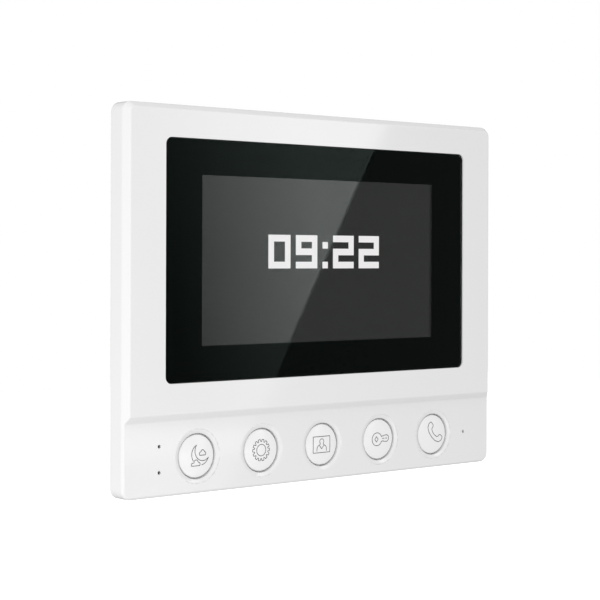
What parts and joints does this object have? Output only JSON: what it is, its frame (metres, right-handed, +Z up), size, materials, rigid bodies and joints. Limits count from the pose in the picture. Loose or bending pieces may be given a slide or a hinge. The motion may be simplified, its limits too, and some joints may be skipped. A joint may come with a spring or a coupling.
{
  "type": "video intercom monitor",
  "caption": "Slim wall-hung white indoor intercom monitor: glass-fronted screen above a row of round buttons, hung on a hooked steel wall plate.",
  "frame": {"origin": "middle of the wall plate, in the plane of the wall, midway between the two wall-box screw slots", "axes": "+X to the right as the user faces the screen, +Y into the wall, +Z up; the screen faces -Y"},
  "size_m": [0.1506, 0.0225, 0.1156],
  "materials": {
    "white_shell": "semi-gloss moulded white ABS",
    "rear_shell": "fine spark texture, off-white ABS",
    "button_white": "semi-gloss moulded white ABS",
    "screw_steel": "zinc plated steel",
    "label_film": "satin silver polyester, blank",
    "screen_glass": "polished clear cover glass",
    "black_ink": "black ink printed on the back of the glass",
    "adhesive_tape": "double-sided acrylic foam tape",
    "foam": "closed-cell foam",
    "lcd_cell": "liquid crystal cell with polarisers",
    "lamp_white": "diffusing white plastic",
    "tin_plate": "tin plated sheet",
    "flex_film": "amber polyimide",
    "sheet_steel": "galvanised sheet, satin",
    "plate_steel": "galvanised sheet, satin",
    "board_green": "green solder mask",
    "chip_black": "moulded epoxy",
    "ferrite": "sintered ferrite",
    "cell_steel": "nickel plated can",
    "connector_black": "glass-filled nylon",
    "connector_ivory": "natural nylon",
    "gold_contact": "gold flashed bronze",
    "terminal_green": "green polyamide",
    "ribbon_white": "laminated polyester ribbon",
    "stem_black": "acetal",
    "smoked_guide": "smoked polycarbonate",
    "boot_rubber": "moulded silicone",
    "cone_paper": "mylar diaphragm",
    "wire_jacket": "PVC insulated wire"
  },
  "bodies": {
    "wall_bracket": {"wall_plate": "plate_steel"},
    "monitor": {"front_cover": "white_shell", "rear_cover": "rear_shell", "case_screws": "screw_steel", "rating_label": "label_film", "screen_glass": "screen_glass", "glass_mask": "black_ink", "glass_tape": "adhesive_tape", "lcd_gasket": "foam", "lcd_panel": "lcd_cell", "lcd_backlight": "lamp_white", "lcd_tray": "tin_plate", "lcd_flex": "flex_film", "lcd_bracket": "sheet_steel", "bracket_screws": "screw_steel", "main_board": "board_green", "board_screws": "screw_steel", "processor": "chip_black", "memory_chips": "chip_black", "small_chips": "chip_black", "capacitors": "tin_plate", "power_transformer": "ferrite", "network_transformer": "chip_black", "inductor": "ferrite", "backup_cell": "cell_steel", "cell_holder": "connector_black", "flex_connector": "connector_ivory", "network_jack": "connector_black", "jack_shield": "tin_plate", "jack_contacts": "gold_contact", "terminal_header": "terminal_green", "header_pins": "gold_contact", "terminal_plug": "terminal_green", "plug_screws": "screw_steel", "key_board": "board_green", "key_board_screws": "screw_steel", "board_link": "ribbon_white", "link_connectors": "connector_ivory", "switch_bodies": "chip_black", "status_lamps": "lamp_white", "light_guide": "smoked_guide", "microphone": "tin_plate", "mic_boot": "boot_rubber", "speaker_basket": "chip_black", "speaker_cone": "cone_paper", "speaker_magnet": "ferrite", "speaker_gasket": "foam", "speaker_wires": "wire_jacket", "speaker_connector": "connector_ivory"},
    "do_not_disturb_key": {"do_not_disturb_button": "button_white"},
    "do_not_disturb_plunger": {"do_not_disturb_stem": "stem_black"},
    "settings_key": {"settings_button": "button_white"},
    "settings_plunger": {"settings_stem": "stem_black"},
    "view_key": {"view_button": "button_white"},
    "view_plunger": {"view_stem": "stem_black"},
    "unlock_key": {"unlock_button": "button_white"},
    "unlock_plunger": {"unlock_stem": "stem_black"},
    "talk_key": {"talk_button": "button_white"},
    "talk_plunger": {"talk_stem": "stem_black"}
  },
  "joints": [
    {"name": "unit_lift", "type": "slide", "parent": "wall_bracket", "child": "monitor", "axis": [0, 0, 1], "range_m": [0, 0.006]},
    {"name": "do_not_disturb_press", "type": "slide", "parent": "monitor", "child": "do_not_disturb_key", "axis": [0, 1, 0], "range_m": [0, 0.0003], "stiffness_N_per_m": 1500, "springref_m": -0.0002},
    {"name": "settings_press", "type": "slide", "parent": "monitor", "child": "settings_key", "axis": [0, 1, 0], "range_m": [0, 0.0003], "stiffness_N_per_m": 1500, "springref_m": -0.0002},
    {"name": "view_press", "type": "slide", "parent": "monitor", "child": "view_key", "axis": [0, 1, 0], "range_m": [0, 0.0003], "stiffness_N_per_m": 1500, "springref_m": -0.0002},
    {"name": "unlock_press", "type": "slide", "parent": "monitor", "child": "unlock_key", "axis": [0, 1, 0], "range_m": [0, 0.0003], "stiffness_N_per_m": 1500, "springref_m": -0.0002},
    {"name": "talk_press", "type": "slide", "parent": "monitor", "child": "talk_key", "axis": [0, 1, 0], "range_m": [0, 0.0003], "stiffness_N_per_m": 1500, "springref_m": -0.0002},
    {"name": "do_not_disturb_plunge", "type": "slide", "parent": "monitor", "child": "do_not_disturb_plunger", "axis": [0, 1, 0], "range_m": [0, 0.0003]},
    {"name": "settings_plunge", "type": "slide", "parent": "monitor", "child": "settings_plunger", "axis": [0, 1, 0], "range_m": [0, 0.0003]},
    {"name": "view_plunge", "type": "slide", "parent": "monitor", "child": "view_plunger", "axis": [0, 1, 0], "range_m": [0, 0.0003]},
    {"name": "unlock_plunge", "type": "slide", "parent": "monitor", "child": "unlock_plunger", "axis": [0, 1, 0], "range_m": [0, 0.0003]},
    {"name": "talk_plunge", "type": "slide", "parent": "monitor", "child": "talk_plunger", "axis": [0, 1, 0], "range_m": [0, 0.0003]}
  ],
  "couplings": [
    {"joint": "do_not_disturb_plunge", "follows": "do_not_disturb_press", "ratio": 1},
    {"joint": "settings_plunge", "follows": "settings_press", "ratio": 1},
    {"joint": "view_plunge", "follows": "view_press", "ratio": 1},
    {"joint": "unlock_plunge", "follows": "unlock_press", "ratio": 1},
    {"joint": "talk_plunge", "follows": "talk_press", "ratio": 1}
  ]
}
